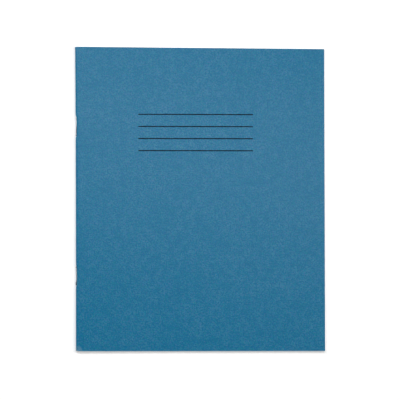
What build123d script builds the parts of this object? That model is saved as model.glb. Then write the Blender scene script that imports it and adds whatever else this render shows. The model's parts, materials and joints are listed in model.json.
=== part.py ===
"""Stapled exercise book: a folded card cover, nested folded sheets and two clinched wire staples.

The book lies closed on its back cover with the spine along -X and the head along +Y.
All folds are concentric about one axis, which runs along Y through the middle of the spine.
"""

import os

from build123d import *

# Closed book, from the outside of the fold to the fore edge and from head to tail
book_width = 165.0
book_height = 200.0

# Folded paper sheets, nested in each other, and the card cover round them
sheet_count = 12
paper_thickness = 0.10
leaf_gap = 0.03
card_thickness = 0.30

# Wire staples: one piece of round wire each, with the crown outside the spine
wire_diameter = 0.50
crown_length = 12.7
clinch_length = 4.2
inside_bend_radius = 0.10
crown_seat_depth = 0.20
hole_clearance = 0.04
core_clearance = 0.10
upper_staple_from_head = 52.4
lower_staple_from_tail = 49.4

# Room that the turning leaves keep from the staple crowns
turning_clearance = 0.12

# Radii about the fold axis, from the wire in the middle out to the staple crown
wire_radius = wire_diameter / 2
hole_radius = wire_radius + hole_clearance
core_radius = wire_radius + core_clearance
leaf_pitch = paper_thickness + leaf_gap
cover_inner_radius = core_radius + sheet_count * leaf_pitch
cover_outer_radius = cover_inner_radius + card_thickness
crown_radius = cover_outer_radius + wire_radius - crown_seat_depth
crown_reach = crown_radius + wire_radius
fold_reach = crown_reach + turning_clearance

# The origin is under the middle of the whole book, staple crowns included
crown_height = crown_reach - cover_outer_radius
spine_x = (crown_height - book_width) / 2
fore_edge_x = spine_x + book_width
axis_x = spine_x + cover_outer_radius
axis_z = cover_outer_radius
hinge_x = axis_x + fold_reach
leaf_width = fore_edge_x - hinge_x
leaf_middle_x = (fore_edge_x + hinge_x) / 2

# The fold axis runs along Y, so folds are drawn looking from the tail and pulled out both ways
fold_plane = Plane(origin=(axis_x, 0, axis_z), x_dir=(1, 0, 0), z_dir=(0, -1, 0))

# Each staple lies in the level plane through the fold axis
staple_plane = Plane(origin=(axis_x, 0, axis_z), x_dir=(1, 0, 0), z_dir=(0, 0, 1))
bend_radius = hole_radius + inside_bend_radius
leg_offset = (crown_length - wire_diameter) / 2
clinch_end_offset = leg_offset + wire_radius - clinch_length
upper_staple_y = book_height / 2 - upper_staple_from_head
lower_staple_y = lower_staple_from_tail - book_height / 2


def staple_path(staple_y):
    """Middle line of a staple's wire: clinched end, leg, crown, leg and clinched end."""
    with BuildLine(staple_plane) as path:
        FilletPolyline(
            (0, staple_y + clinch_end_offset),
            (0, staple_y + leg_offset),
            (-crown_radius, staple_y + leg_offset),
            (-crown_radius, staple_y - leg_offset),
            (0, staple_y - leg_offset),
            (0, staple_y - clinch_end_offset),
            radius=bend_radius,
        )
    return path.line


staple_paths = {
    "staple_upper": staple_path(upper_staple_y),
    "staple_lower": staple_path(lower_staple_y),
}


def folded_strip(label, inner_radius, thickness):
    """Stretch of a folded sheet round the spine, pierced where the staples pass."""
    outer_radius = inner_radius + thickness
    with BuildPart() as strip:
        with BuildSketch(fold_plane):
            with BuildLine():
                CenterArc((0, 0), outer_radius, 90, 180)
                Line((0, -outer_radius), (fold_reach, -outer_radius))
                Line((fold_reach, -outer_radius), (fold_reach, -inner_radius))
                Line((fold_reach, -inner_radius), (0, -inner_radius))
                CenterArc((0, 0), inner_radius, 90, 180)
                Line((0, inner_radius), (fold_reach, inner_radius))
                Line((fold_reach, inner_radius), (fold_reach, outer_radius))
                Line((fold_reach, outer_radius), (0, outer_radius))
            make_face()
        extrude(amount=book_height / 2, both=True)
        for path in staple_paths.values():
            with BuildSketch(Plane(origin=path @ 0, z_dir=path % 0)) as wire_way:
                Circle(hole_radius)
            sweep(sections=wire_way.sketch, path=path, mode=Mode.SUBTRACT)
    strip.part.label = label
    return strip.part


def flat_panel(label, bottom_z, thickness):
    """Flat stretch of a sheet between the spine and the fore edge."""
    with BuildPart() as panel:
        with BuildSketch(Plane.XY.offset(bottom_z)):
            with Locations((leaf_middle_x, 0)):
                Rectangle(leaf_width, book_height)
        extrude(amount=thickness)
    panel.part.label = label
    return panel.part


def wire_staple(label, path):
    """One staple, a round wire along its bent middle line."""
    with BuildPart() as staple:
        with BuildSketch(Plane(origin=path @ 0, z_dir=path % 0)) as wire_section:
            Circle(wire_radius)
        sweep(sections=wire_section.sketch, path=path)
    staple.part.label = label
    return staple.part


# Cover card: the back lies on the table, the spine goes round the fold, the front is on top
pieces = [
    flat_panel("back_cover", axis_z - cover_outer_radius, card_thickness),
    folded_strip("cover_spine", cover_inner_radius, card_thickness),
    flat_panel("front_cover", axis_z + cover_inner_radius, card_thickness),
]

# Sheets from the outermost to the innermost: leaves are numbered from the front of the book
for sheet in range(1, sheet_count + 1):
    sheet_inner_radius = core_radius + (sheet_count - sheet) * leaf_pitch
    front_leaf = sheet
    back_leaf = 2 * sheet_count + 1 - sheet
    front_leaf_z = axis_z + sheet_inner_radius
    back_leaf_z = axis_z - sheet_inner_radius - paper_thickness
    pieces.append(flat_panel(f"leaf_{front_leaf:02d}", front_leaf_z, paper_thickness))
    pieces.append(folded_strip(f"fold_{sheet:02d}", sheet_inner_radius, paper_thickness))
    pieces.append(flat_panel(f"leaf_{back_leaf:02d}", back_leaf_z, paper_thickness))

# Staples through the fold, clinched along its axis
for staple_name, wire_line in staple_paths.items():
    pieces.append(wire_staple(staple_name, wire_line))

os.makedirs("parts", exist_ok=True)
for piece in pieces:
    export_step(piece, f"parts/{piece.label}.step")
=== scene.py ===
"""Looks of the stapled exercise book: folded card cover, nested paper sheets and two wire staples.

Every sheet is modelled as it is made: a flat half, a half turn round the fold and the other half.
"""

import functools
import json
import math

import bmesh
import bpy
from mathutils import Matrix, Quaternion, Vector


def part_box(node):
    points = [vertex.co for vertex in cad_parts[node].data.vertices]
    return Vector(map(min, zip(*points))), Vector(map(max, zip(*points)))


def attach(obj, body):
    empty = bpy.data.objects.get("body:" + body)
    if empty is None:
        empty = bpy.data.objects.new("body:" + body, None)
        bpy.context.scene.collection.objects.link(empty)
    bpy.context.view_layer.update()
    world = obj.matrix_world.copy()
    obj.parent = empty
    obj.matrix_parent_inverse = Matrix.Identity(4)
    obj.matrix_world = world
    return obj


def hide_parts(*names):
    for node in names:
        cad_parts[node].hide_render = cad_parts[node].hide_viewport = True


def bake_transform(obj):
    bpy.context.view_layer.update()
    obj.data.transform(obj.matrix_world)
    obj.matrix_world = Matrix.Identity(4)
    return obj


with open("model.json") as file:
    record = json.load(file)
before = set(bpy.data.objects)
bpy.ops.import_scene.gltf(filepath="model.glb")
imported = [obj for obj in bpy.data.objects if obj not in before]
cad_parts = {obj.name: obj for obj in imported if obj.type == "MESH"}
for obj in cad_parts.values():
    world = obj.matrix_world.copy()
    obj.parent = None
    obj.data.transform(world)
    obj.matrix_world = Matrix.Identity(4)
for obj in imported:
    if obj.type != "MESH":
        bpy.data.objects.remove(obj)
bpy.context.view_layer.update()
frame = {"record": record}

mm = 0.001

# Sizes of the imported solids
front_low, front_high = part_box("front_cover")
staple_low, staple_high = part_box("staple_upper")
fold_axis = Vector(frame["record"]["behaviour"]["joints"][0]["pos_m"])
fold_x = fold_axis.x
fold_z = fold_axis.z
fore_edge_x = front_high.x
flat_start_x = front_low.x
head_y = front_high.y
tail_y = front_low.y
book_height = head_y - tail_y
card_thickness = front_high.z - front_low.z
cover_inner_radius = front_low.z - fold_z
front_run = fore_edge_x - fold_x
sheet_count = 12

# Rows of faces along the spine, columns across each half, and steps round the fold
cover_rows = 60
cover_columns = 40
cover_fold_steps = 24
sheet_rows = 16
sheet_columns = 20
sheet_fold_steps = 12

# Rows are closer together round the ends of the staple crowns
row_offsets = [-0.6 * mm, -0.2 * mm, 0.2 * mm, 0.5 * mm, 0.8 * mm, 1.2 * mm]

# Points closer than this are one point, and places closer than this are the same place
merge_distance = 0.001 * mm
same_place = 0.01 * mm

# Free shape of the closed book: the front half sinks onto the back half and isn't quite flat
settle_run = 46 * mm
settle_depth = 0.62 * mm
wave_height = 0.30 * mm
wave_size = 0.16

# The pressed fold is squarer than a half circle: 2 is a circle, and more is squarer
fold_squareness = 5.0
fold_samples = 40

# Points nearer to the ends of the fold than this share of its radius stay in place
fold_end_share = 0.001

# The fold springs out between the staples, most at the head, and the staples pull it in
spring_depth = 0.70 * mm
steady_spring = 0.26
flare_run = 45 * mm
pull_depths = {"staple_upper": 0.20 * mm, "staple_lower": 0.36 * mm}
end_pull = 0.35
pull_fade = 1.3 * mm
full_spring_turn = math.radians(42)
last_spring_turn = math.radians(82)

# The tail end of the fold has been knocked
blunt_depth = 0.34 * mm

# Staple wire, bent as the solids are
wire_radius = (staple_high.z - staple_low.z) / 2
crown_x = staple_low.x + wire_radius
leg_offset = (staple_high.y - staple_low.y) / 2 - wire_radius
clinch_length = 4.2 * mm
wire_bend_radius = 0.39 * mm
wire_sides = 14
bend_steps = 6
crown_steps = 8
wire_smooth_angle = math.radians(40)

# The crowns stand a little out at their ends and are pressed in between them
end_rise = 0.12 * mm
crown_bow = 0.26 * mm

# Printed rules for the owner's details: they run along X, and the lowest is nearest the tail
rule_left_x = -41.4 * mm
rule_right_x = 34.8 * mm
lowest_rule_y = 32.03 * mm
rule_pitch = 7.97 * mm
rule_count = 4
rule_slope = 0.0039
rule_thickness = 0.73 * mm
ink_spread = 0.06 * mm
ink_rag = 0.12 * mm

# Crease across the tail end of the fold, seen on the front
spine_edge_run = front_run + 1.9 * mm
crease_reach = 4.2 * mm
crease_slope = 0.57
crease_height = 4.2 * mm
crease_fade = 0.5 * mm

uv_name = "sheet_run"


def box_middle_y(node):
    """Middle of a solid along the spine."""
    low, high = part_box(node)
    return (low.y + high.y) / 2


staple_middles = {name: box_middle_y(name) for name in ("staple_upper", "staple_lower")}


def smooth_step(value):
    """0 up to 0, 1 from 1 on, and smooth between."""
    held = min(max(value, 0.0), 1.0)
    return held * held * (3 - 2 * held)


def fold_place(turn):
    """Place on the squared fold of radius 1, by its turn from the front end: across and above its middle."""
    share = 2 / fold_squareness
    across = max(math.sin(turn), 0.0) ** share
    above = math.copysign(abs(math.cos(turn)) ** share, math.cos(turn))
    return across, above


@functools.cache
def fold_length(turn):
    """Length along the squared fold of radius 1, from its front end to a turn."""
    places = [fold_place(turn * step / fold_samples) for step in range(fold_samples + 1)]
    return sum(math.dist(here, there) for here, there in zip(places, places[1:]))


fold_middle_run = front_run + cover_inner_radius * fold_length(math.pi / 2)


# Nodes of the finishes


def new_finish(name):
    """A new material: its node tree and its surface shader."""
    finish = bpy.data.materials.new(name)
    finish.use_nodes = True
    tree = finish.node_tree
    return finish, tree, tree.nodes["Principled BSDF"]


def put(tree, kind, sockets, **settings):
    """Adds a node, sets it up, and feeds each socket with a number, a colour or another node's output."""
    node = tree.nodes.new(kind)
    for name, value in settings.items():
        setattr(node, name, value)
    for key, value in sockets.items():
        if isinstance(value, bpy.types.NodeSocket):
            tree.links.new(value, node.inputs[key])
        else:
            node.inputs[key].default_value = value
    return node


def number_math(tree, operation, *values):
    """Result of one operation on numbers."""
    return put(tree, "ShaderNodeMath", dict(enumerate(values)), operation=operation).outputs[0]


def vector_math(tree, operation, *values):
    """Result of one operation on places or colours."""
    return put(tree, "ShaderNodeVectorMath", dict(enumerate(values)), operation=operation).outputs[0]


def sum_of(tree, first, second):
    """Two values added."""
    return number_math(tree, "ADD", first, second)


def product_of(tree, first, second):
    """Two values multiplied."""
    return number_math(tree, "MULTIPLY", first, second)


def larger_of(tree, first, second):
    """The larger of two values."""
    return number_math(tree, "MAXIMUM", first, second)


def distance_from(tree, value, middle):
    """How far a value is from a middle value."""
    return number_math(tree, "ABSOLUTE", number_math(tree, "SUBTRACT", value, middle))


def ramp_between(tree, value, start, end, low=0.0, high=1.0):
    """A value that goes smoothly from low, where the input is start, to high, where it is end."""
    sockets = {"Value": value, "From Min": start, "From Max": end, "To Min": low, "To Max": high}
    return put(tree, "ShaderNodeMapRange", sockets, interpolation_type="SMOOTHSTEP").outputs[0]


def speckle(tree, place, scale, detail=2.0, roughness=0.5):
    """Even noise from 0 to 1, so many cells to the metre."""
    sockets = {"Vector": place, "Scale": scale, "Detail": detail, "Roughness": roughness}
    return put(tree, "ShaderNodeTexNoise", sockets).outputs["Fac"]


def stretched(tree, place, scale, turn):
    """The same place, turned and drawn out, for fibres and drawn streaks."""
    sockets = {"Vector": place, "Rotation": (0, 0, turn), "Scale": scale}
    return put(tree, "ShaderNodeMapping", sockets).outputs["Vector"]


# Sockets of a Mix node that mixes colours
mix_amount = 0
mix_first = 6
mix_second = 7
mix_result = 2


def tint(tree, amount, first, second):
    """Colour that goes from the first to the second."""
    node = put(tree, "ShaderNodeMix", {mix_amount: amount}, data_type="RGBA")
    for key, colour in ((mix_first, first), (mix_second, second)):
        if isinstance(colour, bpy.types.NodeSocket):
            tree.links.new(colour, node.inputs[key])
        else:
            node.inputs[key].default_value = (*colour, 1)
    return node.outputs[mix_result]


def relief(tree, height, depth, under=None):
    """Bumps of a height pattern, on top of other bumps where given."""
    sockets = {"Height": height, "Strength": 1.0, "Distance": depth}
    if under is not None:
        sockets["Normal"] = under
    return put(tree, "ShaderNodeBump", sockets).outputs["Normal"]


def sheet_place(tree):
    """Place on a sheet in metres: along the run from the front fore edge, and along the spine."""
    return put(tree, "ShaderNodeUVMap", {}, uv_map=uv_name).outputs["UV"]


def object_place(tree):
    """Place in the book's own frame."""
    return put(tree, "ShaderNodeTexCoord", {}).outputs["Object"]


def parts_of(tree, vector):
    """First and second part of a place."""
    node = put(tree, "ShaderNodeSeparateXYZ", {"Vector": vector})
    return node.outputs["X"], node.outputs["Y"]


fibre_turns = (0.35, 1.45, 2.6)


def fibres(tree, place, across, along):
    """Short paper fibres that lie in three directions."""
    total = None
    for turn in fibre_turns:
        strokes = speckle(tree, stretched(tree, place, (across, along, along), turn), scale=1.0)
        total = strokes if total is None else sum_of(tree, total, strokes)
    return product_of(tree, total, 1 / len(fibre_turns))


def dress(tree, shader, colour, roughness, bumps, gloss):
    """Feeds a surface shader."""
    tree.links.new(colour, shader.inputs["Base Color"])
    tree.links.new(roughness, shader.inputs["Roughness"])
    tree.links.new(bumps, shader.inputs["Normal"])
    shader.inputs["Specular IOR Level"].default_value = gloss


# Card of the cover: its mean blue, how far grain and specks change it, and its other colours

card_blue = (0.0100, 0.171, 0.318)
card_light = (0.110, 0.110, 0.140)
card_speck = (0.080, 0.080, 0.140)
card_dark = (0.0, 0.142, 0.286)
card_pale = (0.03, 0.19, 0.33)
card_core = (0.075, 0.215, 0.330)
card_rubbed = (0.11, 0.27, 0.39)
ink_colour = (0.006, 0.008, 0.011)
# Near-black painted shadow in the staple holes
hole_shadow_colour = (0.010, 0.014, 0.018)

# Scales of the card's patterns, and the share of each in the grain
fine_scale = 1300.0
blot_scale = 220.0
cloud_scale = 45.0
speck_scale = 1200.0
dark_scale = 800.0
scuff_scale = 520.0
polish_scale = 1700.0
cut_card_scale = 2600.0
card_fibre_scales = (260.0, 1700.0)
fine_share = 0.40
blot_share = 0.45
cloud_share = 0.25
strand_share = 0.20
mean_grain = (fine_share + blot_share + cloud_share + strand_share) / 2

# Where each pattern starts to show and where it shows in full
dark_range = (0.54, 0.62)
edge_scuff_range = (0.44, 0.72)
fold_scuff_range = (0.50, 0.85)
crease_scuff_range = (0.20, 0.60)
ink_gap_range = (0.30, 0.60)
middle_range = (0.30, 0.70)
wide_range = (0.2, 0.8)

# Rubbed strips along the edges and on the fold, and how strong the wear is
rubbed_end = 0.9 * mm
rubbed_fore_edge = 1.0 * mm
rubbed_fold = 1.2 * mm
rubbed_fold_end = 2.4 * mm
fold_wear = 0.4
least_crease_wear = 0.5
wear_strength = 0.60
least_ink = 0.80

# Painted shadow of the holes that the staple legs pierce: no hole is modelled, so a near-black ring round
# each leg stands in for the shade in it
hole_shadow_outer = 0.60 * mm
hole_shadow_inner = 0.30 * mm

# Surface of the card
card_roughness = (0.39, 0.29)
ink_roughness = 0.55
card_gloss = 0.132
card_bump = 0.040 * mm
cut_card_roughness = (0.75, 0.9)
cut_card_gloss = 0.25
cut_card_bump = 0.05 * mm


def card_grain(tree, place):
    """Dye of the card: fine grain, blots, cloudy patches and fibres, with light specks and dark ones."""
    fine = speckle(tree, place, fine_scale, detail=0.0)
    blots = speckle(tree, place, blot_scale, detail=1.0)
    clouds = speckle(tree, place, cloud_scale)
    strands = fibres(tree, place, *card_fibre_scales)
    grain = product_of(tree, fine, fine_share)
    for pattern, share in ((blots, blot_share), (clouds, cloud_share), (strands, strand_share)):
        grain = sum_of(tree, grain, product_of(tree, pattern, share))
    sockets = {"Vector": place, "Scale": speck_scale, "Detail": 0.0}
    specks = put(tree, "ShaderNodeTexNoise", sockets).outputs["Color"]
    deepest_blue = [
        blue - speck / 2 - light * mean_grain
        for blue, speck, light in zip(card_blue, card_speck, card_light)
    ]
    colour = vector_math(tree, "MULTIPLY_ADD", specks, card_speck, deepest_blue)
    colour = vector_math(tree, "MULTIPLY_ADD", grain, card_light, colour)
    colour = vector_math(tree, "MAXIMUM", colour, (0, 0, 0))
    dark = ramp_between(tree, speckle(tree, place, dark_scale, detail=1.0), *dark_range)
    return tint(tree, dark, colour, card_dark), fine, strands


def wear_of_card(tree, place, run, height):
    """How far the card is rubbed: along its edges, on the fold and at the crease across the tail end."""
    scuffs = speckle(tree, place, scuff_scale, detail=3.0, roughness=0.65)
    off_middle = distance_from(tree, height, 0.0)
    at_ends = ramp_between(tree, off_middle, book_height / 2 - rubbed_end, book_height / 2)
    at_fore_edge = ramp_between(tree, run, rubbed_fore_edge, 0.0)
    worn = larger_of(tree, at_ends, at_fore_edge)
    worn = product_of(tree, worn, ramp_between(tree, scuffs, *edge_scuff_range))

    off_fold = distance_from(tree, run, fold_middle_run)
    on_fold = ramp_between(tree, off_fold, rubbed_fold_end, rubbed_fold)
    on_fold = product_of(tree, on_fold, ramp_between(tree, scuffs, *fold_scuff_range, 0.0, fold_wear))

    from_spine = number_math(tree, "SUBTRACT", spine_edge_run, run)
    crease_line = number_math(tree, "MULTIPLY_ADD", height, crease_slope, from_spine)
    crease_limit = crease_reach + crease_slope * tail_y
    creased = ramp_between(tree, crease_line, crease_limit, crease_limit - crease_fade)
    at_tail = ramp_between(tree, height, tail_y + crease_height, tail_y + crease_height / 2)
    creased = product_of(tree, creased, at_tail)
    crease_scuffs = ramp_between(tree, scuffs, *crease_scuff_range, least_crease_wear, 1.0)
    creased = product_of(tree, creased, crease_scuffs)

    worn = larger_of(tree, larger_of(tree, worn, creased), on_fold)
    return product_of(tree, worn, wear_strength)


def ink_of_rules(tree, run, height, fine, strands):
    """Where the printed rules are. They lean a little, and their edges are ragged."""
    rule_middle = fore_edge_x - (rule_left_x + rule_right_x) / 2
    print_height = number_math(tree, "MULTIPLY_ADD", run, rule_slope, height)
    lowest = lowest_rule_y + rule_slope * rule_middle
    above_lowest = number_math(tree, "SUBTRACT", print_height, lowest)
    count = number_math(tree, "DIVIDE", above_lowest, rule_pitch)
    sockets = {"Value": number_math(tree, "ROUND", count), "Min": 0.0, "Max": rule_count - 1.0}
    nearest = put(tree, "ShaderNodeClamp", sockets).outputs[0]
    off_rule = product_of(tree, distance_from(tree, count, nearest), rule_pitch)
    rag = product_of(tree, number_math(tree, "SUBTRACT", fine, 0.5), ink_rag)
    off_rule = sum_of(tree, off_rule, rag)
    half_thickness = rule_thickness / 2
    half_length = (rule_right_x - rule_left_x) / 2
    off_middle = distance_from(tree, run, rule_middle)
    across_rule = ramp_between(tree, off_rule, half_thickness + ink_spread, half_thickness - ink_spread)
    along_rule = ramp_between(tree, off_middle, half_length + ink_spread, half_length - ink_spread)
    ink = product_of(tree, across_rule, along_rule)
    return product_of(tree, ink, ramp_between(tree, strands, *ink_gap_range, least_ink, 1.0))


def card_finish(name, outside):
    """Dyed card, with painted shadow round the staple holes. The outside is rubbed and carries the printed
    rules.
    """
    finish, tree, shader = new_finish(name)
    place = sheet_place(tree)
    colour, fine, strands = card_grain(tree, place)
    polish = speckle(tree, place, polish_scale, detail=1.0)
    roughness = ramp_between(tree, polish, *middle_range, *card_roughness)
    if outside:
        run, height = parts_of(tree, place)
        colour = tint(tree, wear_of_card(tree, place, run, height), colour, card_rubbed)
        ink = ink_of_rules(tree, run, height, fine, strands)
        colour = tint(tree, ink, colour, ink_colour)
        roughness = sum_of(tree, roughness, product_of(tree, ink, ink_roughness))
    # Painted shadow round each staple leg, where its hole would be shaded
    for middle_y in staple_middles.values():
        for leg_y in (middle_y - leg_offset, middle_y + leg_offset):
            sockets = {0: place, 1: (fold_middle_run, leg_y, 0)}
            off_leg = put(tree, "ShaderNodeVectorMath", sockets, operation="DISTANCE").outputs["Value"]
            colour = tint(tree, ramp_between(tree, off_leg, hole_shadow_outer, hole_shadow_inner), colour, hole_shadow_colour)
    bumps = relief(tree, strands, card_bump, relief(tree, fine, card_bump))
    dress(tree, shader, colour, roughness, bumps, card_gloss)
    return finish


def card_edge_finish():
    """Cut edge of the card, where the paler core and its layers show."""
    finish, tree, shader = new_finish("card_cut_edge")
    fibre = speckle(tree, sheet_place(tree), cut_card_scale, roughness=0.6)
    colour = tint(tree, ramp_between(tree, fibre, *middle_range), card_pale, card_core)
    roughness = ramp_between(tree, fibre, *wide_range, *cut_card_roughness)
    dress(tree, shader, colour, roughness, relief(tree, fibre, cut_card_bump), cut_card_gloss)
    return finish


# Writing paper

paper_white = (0.89, 0.88, 0.84)
paper_shade = (0.83, 0.82, 0.78)
paper_edge_light = (0.93, 0.92, 0.895)
paper_edge_dark = (0.80, 0.785, 0.75)

# Scales of the paper's patterns, their shares, and where they show
formation_scale = 480.0
fleck_scale = 900.0
nick_scale = 700.0
paper_fibre_scales = (220.0, 2600.0)
formation_share = 0.65
paper_strand_share = 0.35
mottle_range = (0.35, 0.65)
fleck_range = (0.78, 0.84)
nick_range = (0.35, 0.70)
fleck_strength = 0.25

# Surface of the paper and of its cut edge
paper_roughness = (0.88, 0.74)
paper_gloss = 0.30
paper_bump = 0.02 * mm
cut_paper_roughness = (0.95, 0.85)
cut_paper_gloss = 0.2
cut_paper_bump = 0.03 * mm


def paper_finish():
    """Uncoated writing paper: cloudy formation, fibres and a few darker specks."""
    finish, tree, shader = new_finish("writing_paper")
    place = sheet_place(tree)
    formation = speckle(tree, place, formation_scale, detail=3.0, roughness=0.6)
    strands = fibres(tree, place, *paper_fibre_scales)
    flecks = ramp_between(tree, speckle(tree, place, fleck_scale, detail=1.0), *fleck_range)
    formation = product_of(tree, formation, formation_share)
    mottle = sum_of(tree, formation, product_of(tree, strands, paper_strand_share))
    colour = tint(tree, ramp_between(tree, mottle, *mottle_range), paper_shade, paper_white)
    colour = tint(tree, product_of(tree, flecks, fleck_strength), colour, paper_edge_dark)
    roughness = ramp_between(tree, strands, *middle_range, *paper_roughness)
    dress(tree, shader, colour, roughness, relief(tree, strands, paper_bump), paper_gloss)
    return finish


def paper_edge_finish():
    """Guillotined edge of a sheet: small nicks and dust along the cut."""
    finish, tree, shader = new_finish("paper_cut_edge")
    nicks = speckle(tree, sheet_place(tree), nick_scale, detail=3.0, roughness=0.65)
    colour = tint(tree, ramp_between(tree, nicks, *nick_range), paper_edge_dark, paper_edge_light)
    roughness = ramp_between(tree, nicks, *wide_range, *cut_paper_roughness)
    dress(tree, shader, colour, roughness, relief(tree, nicks, cut_paper_bump), cut_paper_gloss)
    return finish


# Staple wire

steel_bright = (0.78, 0.78, 0.77)
steel_dull = (0.50, 0.50, 0.49)
rust_brown = (0.20, 0.070, 0.035)
# Near-black painted shade at the lower leg ends, where the wire turns into its hole
leg_end_shade_dark = (0.022, 0.020, 0.018)

# Rust stains, and painted shade at the lower leg ends, of the wires: how far from the staple's middle, how
# far they reach, and how strong they are.
# Each is in full over the inner third of its reach.
stain_and_shade_core = 1 / 3
rust_marks = {
    "staple_upper": (-1.5 * mm, 4.4 * mm, 0.60),
    "staple_lower": (leg_offset, 1.2 * mm, 1.0),
}
# Painted shade at the lower leg ends, not real tarnish
leg_end_shade_marks = {
    "staple_upper": (-leg_offset, 0.9 * mm, 0.8),
    "staple_lower": (-leg_offset, 3.4 * mm, 1.0),
}

# Patterns of the wire, where its rust and its painted shade are patchy, and its surface
streak_scales = (9000.0, 500.0, 9000.0)
patch_scale = 700.0
rust_range = (0.30, 0.55)
leg_end_shade_range = (0.25, 0.50)
least_rust = 0.35
least_leg_end_shade = 0.55
rust_cover = 0.85
rust_roughness = 0.4
wire_roughness = (0.40, 0.28)
wire_gloss = 0.5
wire_bump = 0.010 * mm


def stains_and_shade(tree, along, marks):
    """Rust-stained stretches of the wires, and stretches with painted shade."""
    total = None
    for staple, (offset, reach, strength) in marks.items():
        off_mark = distance_from(tree, along, staple_middles[staple] + offset)
        mark = ramp_between(tree, off_mark, reach, reach * stain_and_shade_core, 0.0, strength)
        total = mark if total is None else sum_of(tree, total, mark)
    return total


def wire_finish():
    """Drawn steel wire with streaks along it, rusty in places, and with painted shade near the lower leg
    ends.
    """
    finish, tree, shader = new_finish("drawn_wire")
    place = object_place(tree)
    streaks = speckle(tree, stretched(tree, place, streak_scales, turn=0.0), scale=1.0, roughness=0.6)
    patches = speckle(tree, place, patch_scale)
    along = parts_of(tree, place)[1]
    rust_patches = ramp_between(tree, patches, *rust_range, least_rust, 1.0)
    rust = product_of(tree, stains_and_shade(tree, along, rust_marks), rust_patches)
    # Painted shade near the lower leg ends
    leg_end_shade_patches = ramp_between(tree, patches, *leg_end_shade_range, least_leg_end_shade, 1.0)
    leg_end_shade = product_of(tree, stains_and_shade(tree, along, leg_end_shade_marks), leg_end_shade_patches)
    colour = tint(tree, ramp_between(tree, streaks, *middle_range), steel_dull, steel_bright)
    colour = tint(tree, rust, colour, rust_brown)
    colour = tint(tree, leg_end_shade, colour, leg_end_shade_dark)
    bare_metal = number_math(tree, "SUBTRACT", 1.0, product_of(tree, rust, rust_cover))
    tree.links.new(bare_metal, shader.inputs["Metallic"])
    roughness = ramp_between(tree, streaks, *wide_range, *wire_roughness)
    roughness = sum_of(tree, roughness, product_of(tree, rust, rust_roughness))
    dress(tree, shader, colour, roughness, relief(tree, streaks, wire_bump), wire_gloss)
    return finish


# Modelling of the sheets


def select_nothing():
    """Leaves nothing selected, so that an operator acts only on what is picked next."""
    bpy.ops.object.select_all(action="DESELECT")


def pull_out(x, y=0.0):
    """Pulls new faces out of the picked edges."""
    bpy.ops.mesh.extrude_region_move(TRANSFORM_OT_translate={"value": (x, y, 0)})


def cut_rows_at_staples():
    """Cuts rows of faces round the ends of the staple crowns."""
    for middle_y in staple_middles.values():
        for offset in row_offsets:
            for side in (-1, 1):
                bpy.ops.mesh.select_all(action="SELECT")
                cut_y = middle_y + side * (leg_offset + offset)
                bpy.ops.mesh.bisect(plane_co=(0, cut_y, 0), plane_no=(0, 1, 0))


def folded_sheet(name, inner_radius, rows, columns, fold_steps):
    """A sheet with no thickness yet: front half, half turn round the fold axis and back half."""
    select_nothing()
    column_width = (fore_edge_x - flat_start_x) / columns
    first_column_x = fore_edge_x - column_width / 2
    bpy.ops.mesh.primitive_grid_add(
        x_subdivisions=1,
        y_subdivisions=rows,
        size=1,
        location=(first_column_x, (head_y + tail_y) / 2, fold_z + inner_radius),
    )
    sheet = bpy.context.active_object
    sheet.name = name
    sheet.data.name = name
    sheet.scale = (column_width, book_height, 1)
    bpy.ops.object.transform_apply(location=True, rotation=True, scale=True)

    bpy.ops.object.mode_set(mode="EDIT")
    bpy.ops.mesh.select_mode(type="EDGE")
    cut_rows_at_staples()
    bpy.ops.mesh.select_all(action="DESELECT")
    surface = bmesh.from_edit_mesh(sheet.data)
    for edge in surface.edges:
        edge.select_set(all(corner.co.x < first_column_x for corner in edge.verts))
    bmesh.update_edit_mesh(sheet.data)
    strip_width = flat_start_x - fold_x
    for step in [-column_width] * (columns - 1) + [-strip_width]:
        pull_out(step)
    bpy.ops.mesh.spin(steps=fold_steps, angle=math.pi, center=fold_axis, axis=(0, 1, 0))
    for step in [strip_width] + [column_width] * columns:
        pull_out(step)
    bpy.ops.mesh.select_all(action="SELECT")
    bpy.ops.mesh.remove_doubles(threshold=merge_distance)
    bpy.ops.mesh.select_all(action="DESELECT")
    bpy.ops.mesh.select_non_manifold()
    bpy.ops.mesh.mark_sharp()
    bpy.ops.object.mode_set(mode="OBJECT")
    bpy.ops.object.shade_smooth()
    return sheet


def run_along_sheet(point, inner_radius):
    """Distance from the front fore edge to a point, measured along the folded sheet."""
    across = point.x - fold_x
    above = point.z - fold_z
    if across > -same_place and above > 0:
        return front_run - across
    if across > -same_place:
        return front_run + inner_radius * fold_length(math.pi) + across
    return front_run + inner_radius * fold_length(math.atan2(-across, above))


def lay_out_run(sheet, inner_radius):
    """Lays the sheet out flat in its UV map, in metres."""
    layer = sheet.data.uv_layers.active
    layer.name = uv_name
    for corner in sheet.data.loops:
        point = sheet.data.vertices[corner.vertex_index].co
        layer.data[corner.index].uv = (run_along_sheet(point, inner_radius), point.y)


def square_fold(sheet, inner_radius):
    """Presses the half turn into a squarer fold of the same width and height."""
    for point in sheet.data.vertices:
        if point.co.x < fold_x - fold_end_share * inner_radius:
            across, above = fold_place(math.atan2(fold_x - point.co.x, point.co.z - fold_z))
            point.co.x = fold_x - inner_radius * across
            point.co.z = fold_z + inner_radius * above


def blunt_tail_corner(sheet, inner_radius):
    """Pushes the tail end of the fold in, as a knock does."""
    for point in sheet.data.vertices:
        if point.co.y < tail_y + same_place:
            point.co.y += blunt_depth * smooth_step((fold_x - point.co.x) / inner_radius)


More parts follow.
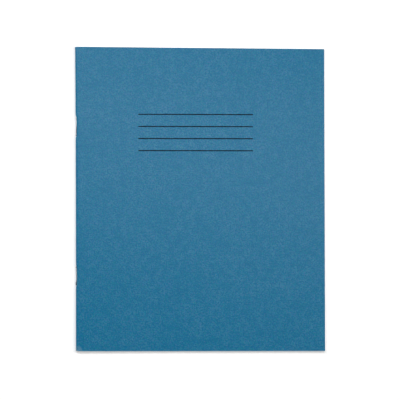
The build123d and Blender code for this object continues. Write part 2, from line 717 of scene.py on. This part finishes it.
def spring_of_fold(y):
    """How far the cover's fold stands out at a place along the spine, or is pulled in under a staple."""
    off_middle, pull_depth = min(
        (abs(y - middle_y), pull_depths[staple]) for staple, middle_y in staple_middles.items()
    )
    half_crown = leg_offset + wire_radius
    under_staple = smooth_step(1 - (off_middle - half_crown) / pull_fade)
    between_ends = max(1 - (off_middle / half_crown) ** 2, 0.0)
    pulling = end_pull + (1 - end_pull) * between_ends
    flare = math.exp((y - head_y) / flare_run)
    springing = steady_spring + (1 - steady_spring) * flare
    return spring_depth * springing * (1 - under_staple) - pull_depth * pulling * under_staple


def spring_fold(sheet, inner_radius):
    """Lets the fold spring out between the staples, less in the inner sheets."""
    share = inner_radius / cover_inner_radius
    for point in sheet.data.vertices:
        if point.co.x > fold_x:
            continue
        turn = abs(math.atan2(point.co.z - fold_z, fold_x - point.co.x))
        fade = smooth_step((last_spring_turn - turn) / (last_spring_turn - full_spring_turn))
        point.co.x -= spring_of_fold(point.co.y) * share * fade


def weigh_front_half(sheet):
    """How far each point of the front half sinks with the closed book, from the fold outwards."""
    group = sheet.vertex_groups.new(name="front_half")
    for point in sheet.data.vertices:
        if point.co.z > fold_z and point.co.x > flat_start_x:
            weight = smooth_step((point.co.x - flat_start_x) / settle_run)
            group.add([point.index], weight, "REPLACE")


def displace(sheet, name, depth, texture=None):
    """Moves the front half along its faces' directions. It acts after a pose has turned the sheet."""
    change = sheet.modifiers.new(name, "DISPLACE")
    change.direction = "NORMAL"
    change.mid_level = 0
    change.strength = depth
    change.vertex_group = "front_half"
    if texture is not None:
        change.texture = texture
        change.texture_coords = "UV"
        change.uv_layer = uv_name


paper_wave = bpy.data.textures.new("paper_wave", "CLOUDS")
paper_wave.noise_scale = wave_size
paper_wave.noise_depth = 1


def shape_sheet(sheet, inner_radius):
    """Gives a folded sheet its run, its pressed fold and its free shape."""
    lay_out_run(sheet, inner_radius)
    square_fold(sheet, inner_radius)
    blunt_tail_corner(sheet, inner_radius)
    spring_fold(sheet, inner_radius)
    weigh_front_half(sheet)
    displace(sheet, "settle", -settle_depth)
    displace(sheet, "wave", wave_height, paper_wave)


def thicken(sheet, thickness, finishes, inner_finish, edge_finish):
    """Gives a sheet its thickness, outwards from the inside of the fold."""
    for finish in finishes:
        sheet.data.materials.append(finish)
    wall = sheet.modifiers.new("thickness", "SOLIDIFY")
    wall.thickness = thickness
    wall.offset = 1
    wall.material_offset = inner_finish
    wall.material_offset_rim = edge_finish


def card_cover():
    """The card round the whole book."""
    cover = folded_sheet("cover", cover_inner_radius, cover_rows, cover_columns, cover_fold_steps)
    shape_sheet(cover, cover_inner_radius)
    finishes = (card_finish("card_outside", True), card_finish("card_inside", False), card_edge_finish())
    thicken(cover, card_thickness, finishes, inner_finish=1, edge_finish=2)
    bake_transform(cover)
    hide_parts("front_cover", "cover_spine", "back_cover")


def paper_sheet(number, finishes):
    """One folded sheet, numbered from the outside in."""
    front_leaf = f"leaf_{number:02d}"
    back_leaf = f"leaf_{2 * sheet_count + 1 - number:02d}"
    low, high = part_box(front_leaf)
    inner_radius = low.z - fold_z
    sheet = folded_sheet(f"sheet_{number:02d}", inner_radius, sheet_rows, sheet_columns, sheet_fold_steps)
    shape_sheet(sheet, inner_radius)
    thicken(sheet, high.z - low.z, finishes, inner_finish=0, edge_finish=1)
    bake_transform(sheet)
    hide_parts(front_leaf, f"fold_{number:02d}", back_leaf)


# Modelling of the staples


def bend_wire(x, y):
    """Bends the end of the wire by a quarter turn to the left, round a point. Spin takes that as negative."""
    bpy.ops.mesh.spin(steps=bend_steps, angle=-math.pi / 2, center=(x, y, fold_z), axis=(0, 0, 1))


def bow_at(step):
    """How far the crown is pressed in, so many steps along it."""
    along = 2 * step / crown_steps - 1
    return crown_bow * (1 - along ** 2) ** 2


def staple_wire(middle_y):
    """One staple: a ring of wire drawn along its clinched end, leg, crown, leg and other end."""
    select_nothing()
    clinch_end_y = leg_offset + wire_radius - clinch_length
    bpy.ops.mesh.primitive_circle_add(
        vertices=wire_sides,
        radius=wire_radius,
        location=(fold_x, middle_y + clinch_end_y, fold_z),
        rotation=(math.pi / 2, 0, 0),
    )
    staple = bpy.context.active_object
    bpy.ops.object.transform_apply(location=True, rotation=True, scale=True)
    bpy.ops.object.mode_set(mode="EDIT")
    bpy.ops.mesh.select_all(action="SELECT")
    clinch_run = leg_offset - wire_bend_radius - clinch_end_y
    crown_end_x = crown_x - end_rise
    leg_run = fold_x - crown_end_x - 2 * wire_bend_radius
    crown_run = 2 * (leg_offset - wire_bend_radius)
    upper_bend_y = middle_y + leg_offset - wire_bend_radius
    lower_bend_y = middle_y - leg_offset + wire_bend_radius
    pull_out(0, clinch_run)
    bend_wire(fold_x - wire_bend_radius, upper_bend_y)
    pull_out(-leg_run)
    bend_wire(crown_end_x + wire_bend_radius, upper_bend_y)
    for step in range(crown_steps):
        pull_out(bow_at(step + 1) - bow_at(step), -crown_run / crown_steps)
    bend_wire(crown_end_x + wire_bend_radius, lower_bend_y)
    pull_out(leg_run)
    bend_wire(fold_x - wire_bend_radius, lower_bend_y)
    pull_out(0, clinch_run)
    bpy.ops.mesh.select_all(action="SELECT")
    bpy.ops.mesh.remove_doubles(threshold=merge_distance)
    bpy.ops.mesh.fill_holes(sides=wire_sides)
    bpy.ops.mesh.normals_make_consistent(inside=False)
    bpy.ops.object.mode_set(mode="OBJECT")
    bpy.ops.object.shade_smooth_by_angle(angle=wire_smooth_angle)
    return staple


card_cover()
paper_finishes = (paper_finish(), paper_edge_finish())
for number in range(1, sheet_count + 1):
    paper_sheet(number, paper_finishes)

upper_staple = staple_wire(staple_middles["staple_upper"])
upper_staple.data.materials.append(wire_finish())
lower_staple = upper_staple.copy()
lower_staple.data = upper_staple.data.copy()
bpy.context.collection.objects.link(lower_staple)
staple_shift = staple_middles["staple_lower"] - staple_middles["staple_upper"]
lower_staple.data.transform(Matrix.Translation((0, staple_shift, 0)))
for staple, node in ((upper_staple, "staple_upper"), (lower_staple, "staple_lower")):
    staple.name = f"{node}_wire"
    staple.data.name = staple.name
    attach(staple, "binding")
    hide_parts(node)


# Floor: white to the camera and in reflections, and darker only where the book shades it

floor_size = 8.0
floor_shade = (0.86, 0.86, 0.86)
floor_white = (0.90, 0.90, 0.90)
floor_grain_scale = 60.0
floor_roughness = 0.9

# The floor glows more from where the lamp's light thins out to where it ends
lamp_reach = 0.20
lamp_end = 0.45
near_glow = 0.33
far_glow = 0.85


def floor_finish():
    """Plain pale floor."""
    finish, tree, shader = new_finish("studio_floor")
    place = object_place(tree)
    colour = tint(tree, speckle(tree, place, floor_grain_scale, detail=3.0), floor_shade, floor_white)
    tree.links.new(colour, shader.inputs["Base Color"])
    shader.inputs["Roughness"].default_value = floor_roughness
    shader.inputs["Specular IOR Level"].default_value = 0.0
    path = put(tree, "ShaderNodeLightPath", {}).outputs
    seen = sum_of(tree, path["Is Camera Ray"], path["Is Glossy Ray"])
    seen = sum_of(tree, seen, path["Is Transmission Ray"])
    off_book = put(tree, "ShaderNodeVectorMath", {0: place}, operation="LENGTH").outputs["Value"]
    glow = ramp_between(tree, off_book, lamp_reach, lamp_end, near_glow, far_glow)
    shader.inputs["Emission Color"].default_value = (1, 1, 1, 1)
    tree.links.new(product_of(tree, seen, glow), shader.inputs["Emission Strength"])
    return finish


select_nothing()
bpy.ops.mesh.primitive_plane_add(size=floor_size)
floor = bpy.context.active_object
floor.name = "floor"
floor.data.materials.append(floor_finish())


# Light: even light from all round, brighter near the horizon, and a soft box over the head of the book

zenith_level = 0.15
horizon_level = 1.05
sky_turn = 0.6
key_place = (-0.07, 0.122, 0.60)
key_target = (-0.07, 0.03, 0)
key_turn = math.radians(-14)
key_width = 0.90
key_depth = 0.13
key_power = 3.45


def light_sky():
    """Sky that lights the book and is white to the camera."""
    world = bpy.data.worlds.new("studio")
    bpy.context.scene.world = world
    world.use_nodes = True
    tree = world.node_tree
    sky = tree.nodes["Background"]
    sky.inputs["Color"].default_value = (1, 1, 1, 1)
    path = put(tree, "ShaderNodeLightPath", {}).outputs
    seen = sum_of(tree, path["Is Camera Ray"], path["Is Transmission Ray"])
    direction = put(tree, "ShaderNodeTexCoord", {}).outputs["Generated"]
    upwards = put(tree, "ShaderNodeSeparateXYZ", {"Vector": direction}).outputs["Z"]
    level = ramp_between(tree, upwards, 0.0, sky_turn, horizon_level, zenith_level)
    sockets = {"Value": seen, "To Min": level, "To Max": 1.0}
    strength = put(tree, "ShaderNodeMapRange", sockets).outputs[0]
    tree.links.new(strength, sky.inputs["Strength"])


def soft_box(name, place, target, turn, width, depth, power):
    """An oblong lamp that looks at a point, turned about the line it looks along."""
    lamp = bpy.data.lights.new(name, "AREA")
    lamp.shape = "RECTANGLE"
    lamp.size = width
    lamp.size_y = depth
    lamp.energy = power
    holder = bpy.data.objects.new(name, lamp)
    bpy.context.collection.objects.link(holder)
    holder.location = place
    facing = (Vector(target) - Vector(place)).to_track_quat("-Z", "Y")
    holder.rotation_euler = (facing @ Quaternion((0, 0, 1), turn)).to_euler()
    holder.visible_camera = False


light_sky()
soft_box("key_soft_box", key_place, key_target, key_turn, key_width, key_depth, key_power)


# Camera: above the book, a little to the spine side

camera_place = Vector((-0.33392, -0.112235, 2.5))
camera_target = Vector((-0.000659, -0.00052, 0.00442))
camera_roll = math.radians(-0.1058)
focal_length = 344.32
sensor_width = 36

camera_back = (camera_place - camera_target).normalized()
level_right = Vector((0, 1, 0)).cross(camera_back).normalized()
level_up = camera_back.cross(level_right)
camera_right = level_right * math.cos(camera_roll) + level_up * math.sin(camera_roll)
camera_up = camera_back.cross(camera_right)
camera_turn = Matrix((camera_right, camera_up, camera_back)).transposed()
lens = bpy.data.cameras.new("camera")
lens.lens = focal_length
lens.sensor_width = sensor_width
camera = bpy.data.objects.new("camera", lens)
bpy.context.collection.objects.link(camera)
camera.matrix_world = Matrix.Translation(camera_place) @ camera_turn.to_4x4()
bpy.context.scene.camera = camera
bpy.context.scene.view_settings.view_transform = "Standard"
